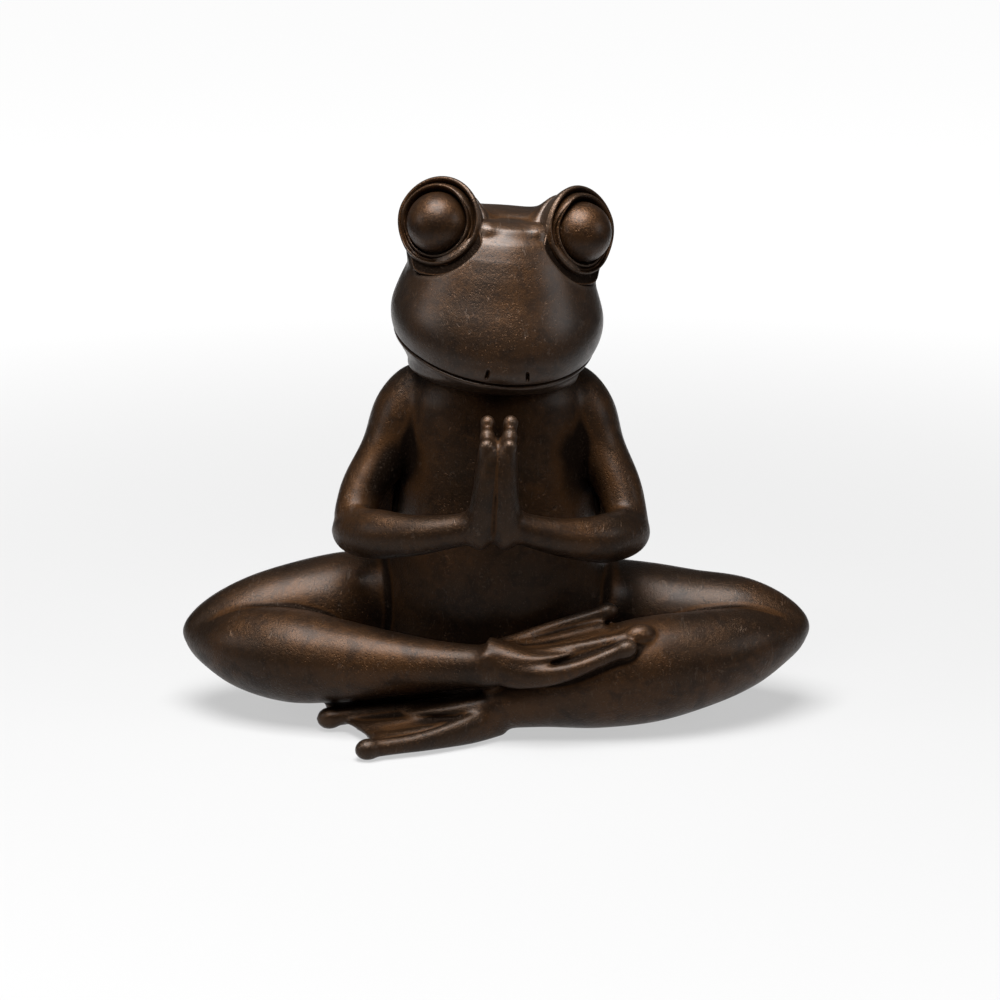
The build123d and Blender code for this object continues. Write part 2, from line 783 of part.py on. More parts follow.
with BuildPart() as left_upper_arm:
    loft(
        sections_along(
            left_upper_arm_line.line, upper_arm_section_shares, arm_width, arm_height, forward
        )
    )
    loft(
        sections_along(
            left_arm_web_line.line,
            arm_web_section_shares,
            arm_web_width,
            arm_web_thickness,
            forward,
        )
    )
    add(body_form.part, mode=Mode.SUBTRACT)
    add(head_form.part, mode=Mode.SUBTRACT)
    add(left_forearm_form.part, mode=Mode.SUBTRACT)
    with Locations(shoulder_seats[1]):
        Cylinder(shoulder_dowel_diameter / 2 + dowel_clearance, shoulder_dowel_length, mode=Mode.SUBTRACT)
    with Locations(elbow_seats[1]):
        Cylinder(elbow_dowel_diameter / 2 + dowel_clearance, elbow_dowel_length, mode=Mode.SUBTRACT)
left_upper_arm.part.label = "left_upper_arm"
export_step(left_upper_arm.part, "parts/left_upper_arm.step")

# Dowels that pin the castings together
with BuildPart() as neck_dowel:
    with Locations(neck_seat):
        Cylinder(neck_dowel_diameter / 2, neck_dowel_length)
neck_dowel.part.label = "neck_dowel"
export_step(neck_dowel.part, "parts/neck_dowel.step")

with BuildPart() as hip_dowels:
    with Locations(*hip_seats):
        Cylinder(hip_dowel_diameter / 2, hip_dowel_length)
hip_dowels.part.label = "hip_dowels"
export_step(hip_dowels.part, "parts/hip_dowels.step")

with BuildPart() as knee_dowels:
    with Locations(*knee_seats):
        Cylinder(knee_dowel_diameter / 2, knee_dowel_length)
knee_dowels.part.label = "knee_dowels"
export_step(knee_dowels.part, "parts/knee_dowels.step")

with BuildPart() as ankle_dowels:
    with Locations(*ankle_seats):
        Cylinder(ankle_dowel_diameter / 2, ankle_dowel_length)
ankle_dowels.part.label = "ankle_dowels"
export_step(ankle_dowels.part, "parts/ankle_dowels.step")

with BuildPart() as shoulder_dowels:
    with Locations(*shoulder_seats):
        Cylinder(shoulder_dowel_diameter / 2, shoulder_dowel_length)
shoulder_dowels.part.label = "shoulder_dowels"
export_step(shoulder_dowels.part, "parts/shoulder_dowels.step")

with BuildPart() as elbow_dowels:
    with Locations(*elbow_seats):
        Cylinder(elbow_dowel_diameter / 2, elbow_dowel_length)
elbow_dowels.part.label = "elbow_dowels"
export_step(elbow_dowels.part, "parts/elbow_dowels.step")

with BuildPart() as wrist_dowels:
    with Locations(*wrist_seats):
        Cylinder(wrist_dowel_diameter / 2, wrist_dowel_length)
wrist_dowels.part.label = "wrist_dowels"
export_step(wrist_dowels.part, "parts/wrist_dowels.step")

# Plug in the filling hole and the felt glued under the seat
with BuildPart() as filling_plug:
    with Locations(plug_seat):
        Cylinder(plug_diameter / 2, plug_height, align=(Align.CENTER, Align.CENTER, Align.MIN))
filling_plug.part.label = "filling_plug"
export_step(filling_plug.part, "parts/filling_plug.step")

with BuildPart() as base_felt:
    with BuildSketch() as felt_outline:
        with Locations((0, body_depth * (body_section_shares[0][2] + body_section_shares[0][3]) / 2)):
            Ellipse(
                seat_width * body_section_shares[0][1] - felt_margin,
                body_depth * (body_section_shares[0][3] - body_section_shares[0][2]) / 2 - felt_margin,
            )
    extrude(amount=felt_thickness)
base_felt.part.label = "base_felt"
export_step(base_felt.part, "parts/base_felt.step")
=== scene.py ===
import bpy
import numpy as np
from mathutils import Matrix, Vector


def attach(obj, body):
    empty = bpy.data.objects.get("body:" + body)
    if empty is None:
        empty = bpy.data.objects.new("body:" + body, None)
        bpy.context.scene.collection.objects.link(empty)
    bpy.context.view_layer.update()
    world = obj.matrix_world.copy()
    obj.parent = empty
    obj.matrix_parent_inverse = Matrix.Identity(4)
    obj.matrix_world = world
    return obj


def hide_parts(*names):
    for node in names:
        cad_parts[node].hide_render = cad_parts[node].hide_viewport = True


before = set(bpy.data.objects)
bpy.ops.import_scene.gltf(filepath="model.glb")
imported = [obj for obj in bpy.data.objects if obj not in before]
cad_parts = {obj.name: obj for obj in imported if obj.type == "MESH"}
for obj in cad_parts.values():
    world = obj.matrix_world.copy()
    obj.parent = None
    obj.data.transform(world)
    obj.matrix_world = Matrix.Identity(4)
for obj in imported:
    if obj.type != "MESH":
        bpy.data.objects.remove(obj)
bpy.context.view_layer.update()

# A frog ornament that sits with crossed legs and pressed palms. Its castings are pinned
# together, the joints are filled and chased smooth, and the whole is given a dark bronze patina.
# Shapes are worked out in millimetres and put into the meshes in metres.

# ---------------------------------------------------------------------------
# Body casting: a hollow pear-shaped casting of filled resin, widest just above the seat.
# It is the piece that the head, arms and thighs are pinned to. Height, half width, front, back.
body_rows = [
    (1.5, 46, -22, 48), (6, 53, -30, 56), (22, 60, -36, 61), (48, 58.5, -38, 60.5),
    (75, 52, -37, 57), (100, 46.5, -34, 52), (125, 44.5, -31, 47), (143, 45, -28, 42),
    (153.5, 42.5, -25, 37), (161.5, 35, -19, 30), (165.5, 25, -12, 22),
]


def through(knots, values, at):
    """A smooth curve through values at the knots: on each span a cubic that takes the
    slopes of the neighbouring spans at its two ends."""
    knots, values = np.asarray(knots, float), np.asarray(values, float)
    slopes = np.gradient(values, knots, axis=0)
    span = np.clip(np.searchsorted(knots, at) - 1, 0, len(knots) - 2)
    width = knots[span + 1] - knots[span]
    t = np.clip((at - knots[span]) / width, 0, 1)
    if values.ndim == 2:
        t, width = t[:, None], width[:, None]
    start, end = values[span], values[span + 1]
    return (
        start * (1 + 2 * t) * (1 - t) ** 2 + slopes[span] * width * t * (1 - t) ** 2
        + end * t * t * (3 - 2 * t) - slopes[span + 1] * width * t * t * (1 - t)
    )


def full_turn(count):
    """Angles evenly spaced once round."""
    return np.linspace(0, 2 * np.pi, count, endpoint=False)


def rings_to_quads(rows, columns):
    """Quads that join each ring of points to the next, all the way round."""
    row, column = np.meshgrid(np.arange(rows - 1), np.arange(columns), indexing="ij")
    after = (column + 1) % columns
    corners = [row * columns + column, row * columns + after,
               (row + 1) * columns + after, (row + 1) * columns + column]
    return np.stack(corners, -1).reshape(-1, 4)


forms = []          # closed surfaces that the castings are joined from
measures = {}       # per casting: frames along its line, to tell which casting a point is on


def keep_form(casting, centre, side, crest, heading, half_wide, half_tall, around=56):
    """A point goes round an ellipse, half_wide along side and half_tall along crest, while
    the ellipse's centre goes along the form's line; both end rings shrink to their centres."""
    turn = full_turn(around)
    ring = (
        centre[:, None] + half_wide[:, None, None] * np.cos(turn)[:, None] * side[:, None]
        + half_tall[:, None, None] * np.sin(turn)[:, None] * crest[:, None]
    )
    ring = np.concatenate([centre[:1, None].repeat(around, 1), ring,
                           centre[-1:, None].repeat(around, 1)])
    forms.append((ring.reshape(-1, 3), rings_to_quads(len(ring), around)))
    pick = np.linspace(0, len(centre) - 1, 36).astype(int)
    measures.setdefault(casting, []).append(
        [a[pick] for a in (centre, side, crest, heading, half_wide, half_tall)]
    )


def level_form(casting, rows, steps=170, around=96):
    """Level ellipses whose half width, front and back run smoothly from row to row."""
    rows = np.array(rows, float)
    up = np.linspace(rows[0, 0], rows[-1, 0], steps)
    half, front, back = through(rows[:, 0], rows[:, 1:], up).T
    centre = np.stack([np.zeros(steps), (front + back) / 2, up], 1)
    axes = [np.tile(axis, (steps, 1)) for axis in np.eye(3)]
    keep_form(casting, centre, *axes, half, (back - front) / 2, around)


level_form("torso", body_rows)

# ---------------------------------------------------------------------------
# Legs: each a thigh casting and a shin casting that meet in one rounded knee. The right shin
# crosses over the left. Rows are distance along the line, then shares of the full thickness.
thigh_rows = [(0, .96, 1), (.3, .96, .95), (.5, .86, .85), (.68, .74, .73),
              (.82, .58, .57), (.92, .39, .39), (.97, .24, .24), (1, 0, 0)]
right_shin_rows = [(0, 0, 0), (.03, .28, .28), (.08, .5, .48), (.2, .84, .83), (.37, 1, .96),
                   (.52, .88, .85), (.7, .68, .67), (.87, .5, .5), (1, .44, .44)]
left_shin_rows = [(0, 0, 0), (.03, .3, .3), (.08, .5, .48), (.2, .82, .8), (.37, 1, .99),
                  (.52, 1.04, 1.08), (.7, .9, .98), (.87, .66, .68), (1, .46, .48)]
UP, FORWARD = np.array([0, 0, 1.0]), np.array([0, -1.0, 0])


def along(points, share):
    """Points of the smooth curve through the given ones, by share of its length, with the
    direction that it heads in at each."""
    points = np.array(points, float)
    steps = np.linalg.norm(np.diff(points, axis=0), axis=1)
    knots = np.concatenate([[0], np.cumsum(steps)]) / steps.sum()
    centre = through(knots, points, share)
    ahead = through(knots, points, np.clip(share + .01, 0, 1))
    heading = ahead - through(knots, points, np.clip(share - .01, 0, 1))
    return centre, heading / np.linalg.norm(heading, axis=1, keepdims=True)


def limb(casting, points, rows, width, height, up=UP, around=56):
    """An ellipse carried square to a curved line. Its squares of width and height run
    smoothly from row to row, so that an end that shrinks to nothing is round."""
    share = np.linspace(0, 1, 150)
    centre, heading = along(points, share)
    side = np.cross(up, heading)
    side /= np.linalg.norm(side, axis=1, keepdims=True)
    rows = np.array(rows, float)
    wide, tall = np.sqrt(np.clip(through(rows[:, 0], rows[:, 1:] ** 2, share), 0, None)).T
    keep_form(casting, centre, side, np.cross(heading, side), heading,
              wide * width / 2, tall * height / 2, around)


thigh_size, shin_size = (54, 56), (45, 46)      # width and height at the thickest
limb("right_thigh",
     [(-40, 16, 41.5), (-72, 8, 43.8), (-94, 2, 43.3), (-123, -6, 40.5), (-150.8, -12, 35.5)],
     thigh_rows, *thigh_size)
limb("left_thigh",
     [(40, 16, 38.5), (73, 8, 38.5), (93, 2, 39.5), (118, -5, 42), (151, -12, 38.5)],
     thigh_rows, *thigh_size)
limb("right_shin",
     [(-148.5, -12, 33.5), (-120, -23, 33), (-92.7, -32, 31.4), (-45, -50, 33), (-4, -62, 36)],
     right_shin_rows, *shin_size)
limb("left_shin",
     [(148.5, -13, 37.5), (124, -23, 35), (100, -34, 32), (38, -51, 24), (-2, -57, 15.5)],
     left_shin_rows, *shin_size)


def egg(casting, tip, back, thick, long, up=UP):
    """A round end, as thick and long as given, with its far side just past the tip of a line
    that comes from the back point."""
    tip, back = np.array(tip, float), np.array(back, float)
    ahead = (tip - back) / np.linalg.norm(tip - back)
    middle = tip - ahead * (long - thick) / 2
    rows = [(0, 0, 0), (.25, .866, .866), (.5, 1, 1), (.75, .866, .866), (1, 0, 0)]
    limb(casting, [middle - ahead * long / 2, middle, middle + ahead * long / 2], rows,
         thick, thick, up, 28)


egg("right_shin", (-4, -62, 35.5), (-45, -50, 33), 20, 24)
egg("left_shin", (-2, -57, 15), (38, -51, 24), 21, 26)

# ---------------------------------------------------------------------------
# Feet: three long toes with round tips and a web between them, cast in one with the instep.
# The left foot is flat on the floor, and the right one lies on the left shin.
left_toes = [
    [(3, -58, 10.5), (-12, -68.3, 7.9), (-32, -78.7, 6), (-59.5, -88, 5)],
    [(2, -57, 16), (-18, -56.5, 15), (-40, -53, 12.4), (-60, -50, 9.4), (-79, -47, 5.8)],
    [(2, -53, 17), (-18, -49, 16), (-40, -44, 14), (-76, -37, 9.5)],
]
right_toes = [
    [(-5, -65, 38), (8, -69, 34.5), (22, -71, 34.5), (61, -65, 46)],
    [(-4, -60, 41), (14, -63, 41), (34, -61, 43.5), (68, -55, 49)],
    [(-4, -55, 41), (10, -50, 44.5), (24, -45.3, 48.5), (53, -39, 55.8)],
]
toe_rows = [(0, 1.1, 1.2), (.2, .96, 1.06), (.55, .86, .92), (1, .9, .92)]
front_toe_rows = [(0, 1.1, 2.1), (.2, 1, 1.7), (.45, .92, 1.25), (.7, .86, .94), (1, .9, .92)]
instep_rows = [(0, 1, 1), (.12, .98, .76), (.26, .94, .46), (.4, .86, .27), (.52, .62, .14),
               (.6, 0, 0), (1, 0, 0)]


def web(casting, first, second, thickness):
    """A skin between two toes: across, a point goes from one toe's line to the other's and
    back, a little above and below the straight, with low tendons along the top; its front
    edge is hollow."""
    rows, around = 60, 72
    far_toe, midway = around // 2, around // 4
    turn = full_turn(around)
    across, lift = (1 - np.cos(turn)) / 2, np.sin(turn)
    share = np.linspace(.04, 1, rows)[:, None]
    reach = share * (.955 - .075 * np.sin(np.pi * across))
    a, b = (along(toe, reach.ravel())[0].reshape(rows, around, 3) for toe in (first, second))
    middle = a + (b - a) * across[:, None]
    normal = np.cross(b[:, far_toe] - a[:, far_toe], np.gradient(middle[:, midway], axis=0))
    normal /= np.linalg.norm(normal, axis=1, keepdims=True)
    normal *= np.sign(normal[:, 2:])
    thick = thickness * (1.7 - .8 * share ** .6) / 2
    tendons = .9 * (lift > 0) * np.clip(np.cos(across * 6 * np.pi), -.2, 1)
    tendons = tendons * np.sin(np.pi * share) ** .5
    skin = middle + normal[:, None] * (thick * lift + tendons)[..., None]
    sag = 1.5 * np.sin(np.pi * across)
    skin -= UP * (sag * np.clip(share * 5 - 1.6, -1.4, 1))[..., None]
    start = middle[:1, midway:midway + 1].repeat(around, 1)
    skin = np.concatenate([start, skin, middle[-1:] - UP * sag[:, None]])
    forms.append((skin.reshape(-1, 3), rings_to_quads(len(skin), around)))
    pick = middle[::4, 1:far_toe:3].reshape(-1, 3)
    axes = [np.tile(axis, (len(pick), 1)) for axis in np.eye(3)]
    half = np.full(len(pick), thickness / 2 + .6)
    measures[casting].append([pick, *axes, half * 1.6, half * 1.6])


web_thickness = 3.4
for casting, toes, thick, tips, ankle in (
    ("left_foot", left_toes, 9.2, [(10.2, 13), (10.6, 13), (9.6, 12)], 20),
    ("right_foot", right_toes, 8.0, [(9.2, 12), (11.8, 16), (9.0, 12)], 18),
):
    for number, (toe, (wide, long)) in enumerate(zip(toes, tips)):
        limb(casting, toe, toe_rows if number else front_toe_rows, thick, thick, around=28)
        egg(casting, toe[-1], toe[-2], wide, long)
    web(casting, toes[0], toes[1], web_thickness)
    web(casting, toes[1], toes[2], web_thickness)
    limb(casting, toes[1], instep_rows, ankle, ankle, around=32)
egg("right_foot", (-4.5, -67, 42), (8, -69, 36), 8.4, 9)
egg("left_foot", (2.8, -60.5, 19), (-12, -68, 8), 7.6, 9)

# ---------------------------------------------------------------------------
# Arms: upper arm castings with a web behind them that closes the armpit, and forearms that
# run forward over the thighs to the wrists.
upper_arm_rows = [(0, .72, .72), (.1, .92, .92), (.24, 1, 1), (.48, .82, .84),
                  (.75, .66, .68), (1, .6, .6)]
arm_web_rows = [(0, .7, 1), (.35, 1, .9), (.7, .96, .8), (1, .6, .6)]
forearm_rows = [(0, 0, 0), (.03, .46, .46), (.09, .74, .76), (.18, .94, .95), (.35, .98, 1),
                (.55, .86, .86), (.75, .76, .73), (1, .68, .66)]
arm_web = [(34, 16, 146), (46, 15, 123), (53, 12, 107), (56, 8, 89)]


def mirrored(points):
    """The same points on the frog's right side."""
    return [(-x, y, z) for x, y, z in points]


arm_size, arm_web_size, forearm_size = (33, 34), (27, 12), (22, 23.6)
limb("right_upper_arm",
     [(-30, 10, 157), (-40, 8, 144), (-51.5, 2, 123), (-63.4, -10, 106), (-67.3, -20, 94)],
     upper_arm_rows, *arm_size, FORWARD)
limb("left_upper_arm",
     [(29, 10, 157), (38.5, 8, 144), (48.5, 2, 123.5), (58.6, -10, 106.5), (62.5, -20, 92)],
     upper_arm_rows, *arm_size, FORWARD)
limb("right_upper_arm", mirrored(arm_web), arm_web_rows, *arm_web_size, FORWARD)
limb("left_upper_arm", arm_web, arm_web_rows, *arm_web_size, FORWARD)
limb("right_forearm",
     [(-75, -17, 90.5), (-66, -28, 91.5), (-54, -40, 93.5), (-35, -51, 96), (-9, -58, 102)],
     forearm_rows, *forearm_size)
limb("left_forearm",
     [(70.7, -17, 89.5), (60.7, -28, 90.5), (48, -41, 91.5), (30, -51, 95), (9, -58, 102)],
     forearm_rows, *forearm_size)

# ---------------------------------------------------------------------------
# Hands: narrow palms that are pressed together, each with three fingers that end in round
# tips of different heights. They are glued to each other along the middle, and lean a little.
palm = [(6.2, -59.5, 91), (5.6, -60, 104), (4.4, -60, 118), (3.6, -59.6, 131), (3.3, -59, 145)]
palm_rows = [(0, 0, 0), (.03, .5, .4), (.11, .88, .66), (.25, .98, .82), (.5, .9, .97),
             (.75, .84, 1), (.89, .74, .9), (.97, .44, .6), (1, 0, 0)]
knuckles = [(4, -54, 126), (4, -59.5, 126), (4, -65, 126)]
fingertips = [(5.2, -53, 149.8), (5.2, -59, 145), (5.2, -65, 141.6)]
palm_size, finger_size = (14, 21), (6.6, 6.6)
hand_lean, lean_from = .055, 122        # towards the left, by height above this one
for casting, side in (("left_hand", 1), ("right_hand", -1)):
    palm_line, knuckle_line, tip_line = (
        [(side * x + (z - lean_from) * hand_lean, y, z) for x, y, z in line]
        for line in (palm, knuckles, fingertips)
    )
    limb(casting, palm_line, palm_rows, *palm_size, FORWARD)
    for knuckle, tip in zip(knuckle_line, tip_line):
        middle = tuple((a + b) / 2 for a, b in zip(knuckle, tip))
        limb(casting, [knuckle, middle, tip], [(0, 1, 1), (1, 1, 1)], *finger_size,
             FORWARD, 24)
        egg(casting, tip, knuckle, 7.4, 8.2, FORWARD)

# ---------------------------------------------------------------------------
# Joining: the castings are pinned and glued, the joints are filled and rubbed down, and the
# surface is chased. Each casting keeps its own piece, divided from the next along the joint.
cell = 0.85         # size of the mesh, mm
joints = [          # places where the filler leaves a soft fillet, with the reach of each, mm
    ((-42, 8, 146), 24), ((40, 8, 146), 24), ((-148, -12, 37), 26), ((148, -12, 38), 26),
    ((-60, 6, 60), 14), ((58, 6, 60), 14), ((-72, -18, 92), 9), ((67, -18, 90), 9),
    ((-66, -25, 99), 15), ((61, -25, 98), 15), ((-13, -55, 106), 13), ((13, -55, 106), 13),
    ((-9, -60, 33), 12), ((3, -56, 16), 12),
]
joint_weight, joint_rounds = .6, 70     # how hard and how long the joints are rubbed down


def mesh_arrays(mesh):
    """The points, edges and quads of a mesh as arrays."""
    points = np.zeros(len(mesh.vertices) * 3)
    mesh.vertices.foreach_get("co", points)
    edges = np.zeros(len(mesh.edges) * 2, int)
    mesh.edges.foreach_get("vertices", edges)
    corners = np.zeros(len(mesh.loops), int)
    mesh.loops.foreach_get("vertex_index", corners)
    return points.reshape(-1, 3), edges.reshape(-1, 2), corners.reshape(-1, 4)


def cast_together(parts, size):
    """All the closed surfaces as the one skin round their union."""
    points = np.concatenate([p for p, q in parts])
    first = np.cumsum([0] + [len(p) for p, q in parts[:-1]])
    quads = np.concatenate([q + f for (p, q), f in zip(parts, first)])
    mesh = bpy.data.meshes.new("rough_casting")
    mesh.from_pydata(points / 1000, [], quads.tolist())
    rough = bpy.data.objects.new("rough_casting", mesh)
    bpy.context.scene.collection.objects.link(rough)
    skin = rough.modifiers.new("skin", "REMESH")
    skin.mode, skin.voxel_size, skin.adaptivity = "VOXEL", size / 1000, 0
    bpy.context.view_layer.update()
    cast = rough.evaluated_get(bpy.context.evaluated_depsgraph_get())
    points, edges, quads = mesh_arrays(bpy.data.meshes.new_from_object(cast))
    bpy.data.objects.remove(rough)
    return points * 1000, edges, quads


def neighbour_mean(values, edges, count):
    """For each point the mean of the values at the points that it shares an edge with."""
    a, b = edges.T
    return np.stack([
        (np.bincount(a, column[b], len(count)) + np.bincount(b, column[a], len(count))) / count
        for column in values.T
    ], 1)


def rub_down(points, edges, weight, rounds):
    """Each point moves towards its neighbours' mean by its weight, round after round."""
    count = np.bincount(edges.ravel(), minlength=len(points))
    for _ in range(rounds):
        points = points + weight[:, None] * (neighbour_mean(points, edges, count) - points)
    return points


def nearness(points, frames):
    """How far each point is from a form's line, as a share of the form's own thickness
    there: 1 on its surface, less inside. Points far from the form get 9."""
    centre, side, crest, heading, wide, tall = frames
    reach = max(wide.max(), tall.max()) + 8
    close = np.all((points > centre.min(0) - reach) & (points < centre.max(0) + reach), 1)
    found = np.full(len(points), 9.0)
    best = np.full(close.sum(), 81.0)
    wide, tall = np.maximum(wide, 1), np.maximum(tall, 1)
    for i in range(len(centre)):
        away = points[close] - centre[i]
        round_about = (away @ side[i] / wide[i]) ** 2 + (away @ crest[i] / tall[i]) ** 2
        best = np.minimum(best, round_about + (away @ heading[i] / min(wide[i], tall[i])) ** 2)
    found[close] = np.sqrt(best)
    return found


skin_points, skin_edges, skin_quads = cast_together(forms, cell)
even = np.full(len(skin_points), .5)
skin_points = rub_down(skin_points, skin_edges, even, 6)
soft = np.zeros(len(skin_points))
for place, reach in joints:
    soft = np.maximum(soft, np.exp(-(np.linalg.norm(skin_points - place, axis=1) / reach) ** 2))
skin_points = rub_down(skin_points, skin_edges, joint_weight * soft, joint_rounds)
skin_points = rub_down(skin_points, skin_edges, even, 2)

castings = list(measures)
owners = np.stack([
    np.min([nearness(skin_points, frames) for frames in measures[casting]], 0)
    for casting in castings
], 1)
neighbours = np.bincount(skin_edges.ravel(), minlength=len(skin_points))
for _ in range(5):
    owners = (owners + neighbour_mean(owners, skin_edges, neighbours)) / 2
owner_of_face = owners[skin_quads].mean(1).argmin(1)


def point_normals(points, quads):
    """The mean direction of the quads round each point, larger ones counting for more."""
    a, b, c, d = (points[quads[:, i]] for i in range(4))
    square = np.cross(c - a, d - b)
    total = np.stack([np.bincount(quads.ravel(), np.repeat(square[:, i], 4), len(points))
                      for i in range(3)], 1)
    return total / np.maximum(np.linalg.norm(total, axis=1, keepdims=True), 1e-12)


def hollows(points, edges, normals, rounds):
    """How hollow the surface is at each point: how far the neighbours' mean, spread over so
    many rounds, stands above it, in millimetres."""
    count = np.bincount(edges.ravel(), minlength=len(points))
    lifted = rub_down(points, edges, np.full(len(points), .9), rounds)
    height = ((lifted - points) * normals).sum(1)
    return (height + 2 * neighbour_mean(height[:, None], edges, count)[:, 0]) / 3


skin_normals = point_normals(skin_points, skin_quads)
close_rounds, broad_rounds, broad_shade_share = 14, 90, .7    # narrow and wide hollows
skin_hollow_and_shade = hollows(skin_points, skin_edges, skin_normals, close_rounds)
# The wide hollows are added in as painted shade: they darken broad pockets, such as the armpits,
# where shade falls.
broad_painted_shade = hollows(skin_points, skin_edges, skin_normals, broad_rounds)
skin_hollow_and_shade += broad_shade_share * np.clip(broad_painted_shade, -.12, 3)
# Painted shade: the hollow value is raised round these places so the patina turns near black
# there.
painted_shade_spots = [          # places painted darker as shade: the armpits, under the chin and under the forearms, with the reach of each, mm
    ((-46, -16, 124), 12), ((-52, -20, 110), 14), ((38, -18, 130), 11), ((43, -20, 112), 14),
    ((0, -30, 158), 14), ((-62, -24, 66), 13), ((58, -24, 66), 13), ((-44, -34, 84), 12),
    ((44, -34, 84), 12),
]
painted_shade_strength = 1.1
for place, reach in painted_shade_spots:
    away = np.linalg.norm(skin_points - place, axis=1)
    skin_hollow_and_shade += painted_shade_strength * np.exp(-(away / reach) ** 2)


def put_in_mesh(name, points, faces, normals, hollow, material, slot_name, nodes):
    """A finished piece from its arrays: shaded smooth by the given normals, with the hollows,
    and any painted shade added to them, kept as an attribute for the patina, riding on the one
    body."""
    mesh = bpy.data.meshes.new(name)
    mesh.from_pydata(points / 1000, [], faces)
    mesh.polygons.foreach_set("use_smooth", np.ones(len(faces), bool))
    kept = mesh.attributes.new("hollow", "FLOAT", "POINT")
    kept.data.foreach_set("value", hollow.astype(np.float32))
    mesh.normals_split_custom_set_from_vertices(normals)
    mesh.materials.append(material)
    piece = bpy.data.objects.new(name, mesh)
    bpy.context.scene.collection.objects.link(piece)
    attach(piece, "root")
    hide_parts(*nodes)


def divide(owner, number, cap_depth=2.5):
    """The faces of one casting with their points, closed inside the joints by triangles from
    each open loop to a middle of its own, which lies a little below the surface round it."""
    faces = skin_quads[owner == number]
    used, faces = np.unique(faces, return_inverse=True)
    faces = faces.reshape(-1, 4)
    starts, ends = faces.ravel(), np.roll(faces, -1, 1).ravel()
    there = starts * len(used) + ends
    back = ends * len(used) + starts
    rim = ~np.isin(there, back)
    points, normals, hollow = skin_points[used], skin_normals[used], skin_hollow_and_shade[used]
    starts, ends = starts[rim], ends[rim]
    loop, following = np.arange(len(used)), np.arange(len(used))
    following[starts] = ends
    for _ in range(14):     # each round looks twice as far along the loop
        loop = np.minimum(loop, loop[following])
        following = following[following]
    loops, which = np.unique(loop[starts], return_inverse=True)
    size = np.bincount(which)[:, None]
    middles, facing = (np.stack([np.bincount(which, v) for v in values[starts].T], 1) / size
                       for values in (points, normals))
    cap = np.stack([ends, starts, len(used) + which], 1)
    return (
        np.vstack([points, middles - cap_depth * facing]),
        faces.tolist() + cap.tolist(),
        np.vstack([normals, np.tile(UP, (len(loops), 1))]),
        np.append(hollow, np.zeros(len(loops))),
    )


class Wire:
    """A socket in a material, with + - * and abs that add the Math nodes they stand for."""

    def __init__(self, board, socket):
        self.board, self.socket = board, socket

    def _math(self, operation, a, b):
        return self.board.node("ShaderNodeMath", {"operation": operation}, {0: a, 1: b})

    def __add__(self, other): return self._math("ADD", self, other)
    def __radd__(self, other): return self._math("ADD", other, self)
    def __sub__(self, other): return self._math("SUBTRACT", self, other)
    def __rsub__(self, other): return self._math("SUBTRACT", other, self)
    def __mul__(self, other): return self._math("MULTIPLY", self, other)
    def __rmul__(self, other): return self._math("MULTIPLY", other, self)

    def __abs__(self):
        return self.board.node("ShaderNodeMath", {"operation": "ABSOLUTE"}, {0: self})

    def ramp(self, low, high, start=0.0, end=1.0):
        """start below low, end above high, and a smooth change between."""
        return self.board.node(
            "ShaderNodeMapRange", {"interpolation_type": "SMOOTHSTEP", "clamp": True},
            {"Value": self, "From Min": low, "From Max": high, "To Min": start, "To Max": end})


class Board:
    """A material's node tree, with one method that adds a node and returns its first output."""

    def __init__(self, name):
        self.material = bpy.data.materials.new(name)
        self.material.use_nodes = True
        self.tree = self.material.node_tree
        self.shader = self.tree.nodes["Principled BSDF"]

    def node(self, kind, settings=None, sockets=None, output=0):
        made = self.tree.nodes.new(kind)
        for key, value in (settings or {}).items():
            setattr(made, key, value)
        self.fill(made, sockets or {})
        return Wire(self, made.outputs[output])

    def fill(self, made, sockets):
        for key, value in sockets.items():
            if isinstance(value, Wire):
                self.tree.links.new(value.socket, made.inputs[key])
            else:
                made.inputs[key].default_value = value

    def place(self):
        """Where a point is on the object, in metres."""
        return self.node("ShaderNodeTexCoord", output=3)

    def noise(self, scale, detail, roughness, stretch=None, distortion=0.0):
        """A cloudy pattern from 0 to 1, finer for a larger scale."""
        where = self.place()
        if stretch:
            where = self.node("ShaderNodeMapping", {}, {"Vector": where, "Scale": stretch})
        return self.node("ShaderNodeTexNoise", {}, {
            "Vector": where, "Scale": scale, "Detail": detail, "Roughness": roughness,
            "Distortion": distortion})

    def mix(self, factor, a, b):
        """Two colours by a factor."""
        made = self.tree.nodes.new("ShaderNodeMix")
        made.data_type = "RGBA"
        self.fill(made, {0: factor, 6: a, 7: b})
        return Wire(self, made.outputs[2])


